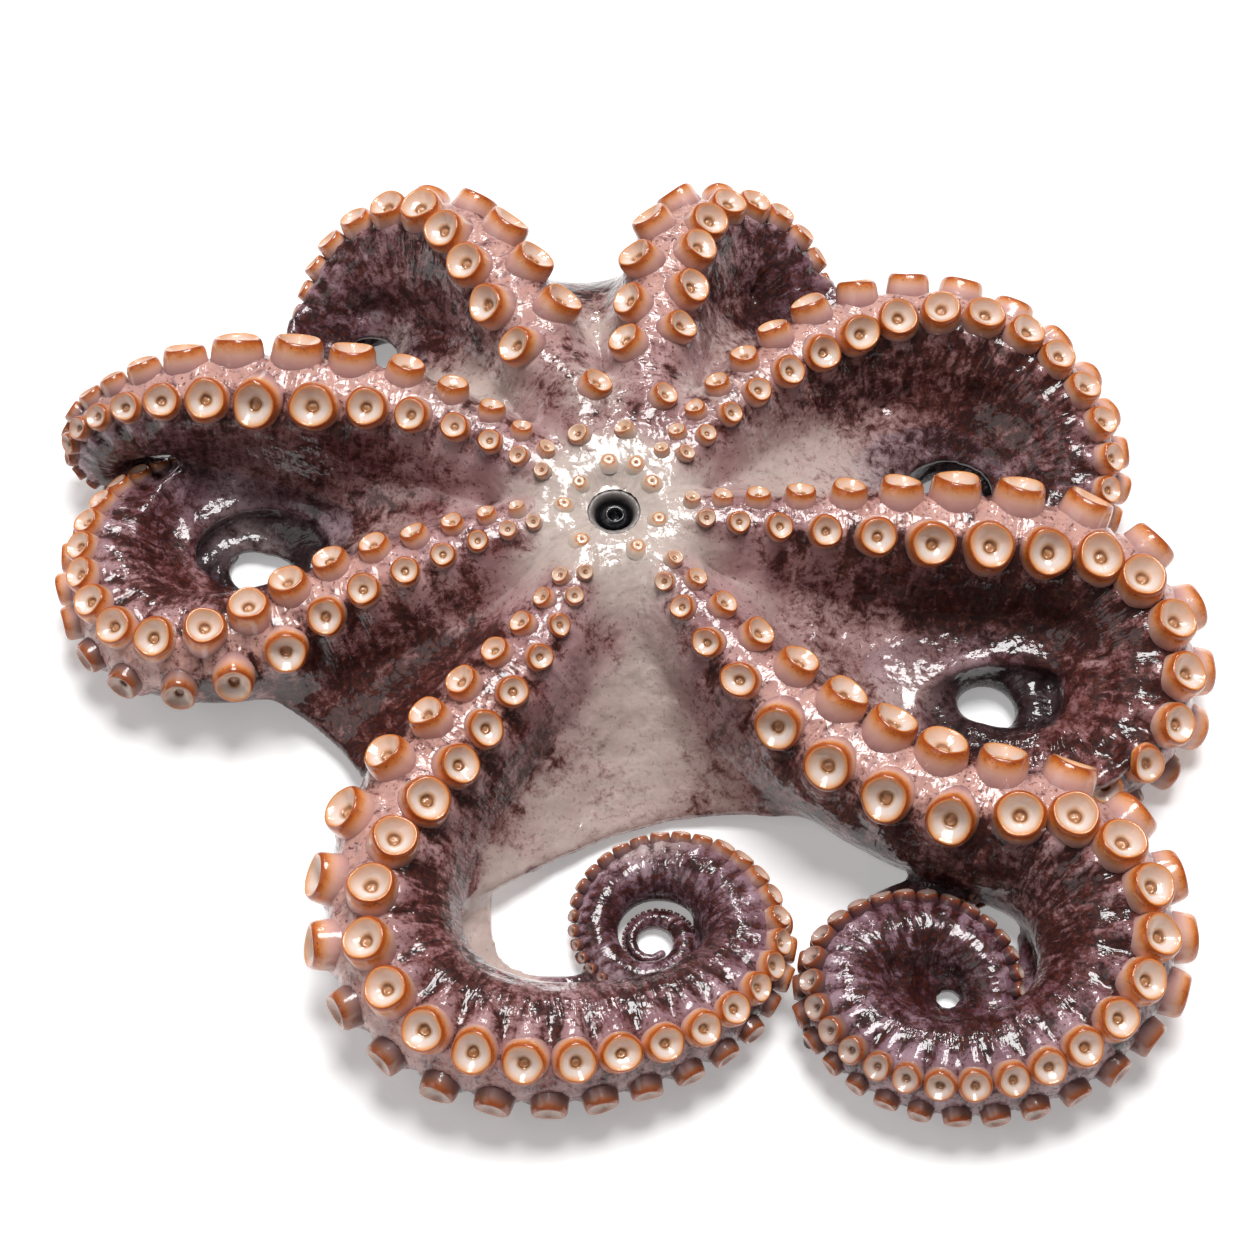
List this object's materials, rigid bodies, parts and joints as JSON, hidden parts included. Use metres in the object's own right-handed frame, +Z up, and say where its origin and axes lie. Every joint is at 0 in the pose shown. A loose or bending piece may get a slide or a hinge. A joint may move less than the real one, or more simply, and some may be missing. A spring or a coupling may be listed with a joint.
{
  "type": "cooked octopus",
  "caption": "Whole cooked octopus lying mouth up, its suckered arms joined by web and curled into coils.",
  "frame": {"origin": "on the surface it lies on, under the middle of its bounding box", "axes": "+Z up, out of the mouth; +X to the right and +Y to the back, as seen from the front coils"},
  "size_m": [0.3512, 0.319, 0.0596],
  "materials": {
    "skin": "wet, mottled maroon over pink and cream flesh, with orange-rimmed suckers",
    "horn": "wet, smooth, nearly black"
  },
  "bodies": {
    "root": {"octopus": "skin", "beak": "horn"}
  },
  "joints": []
}
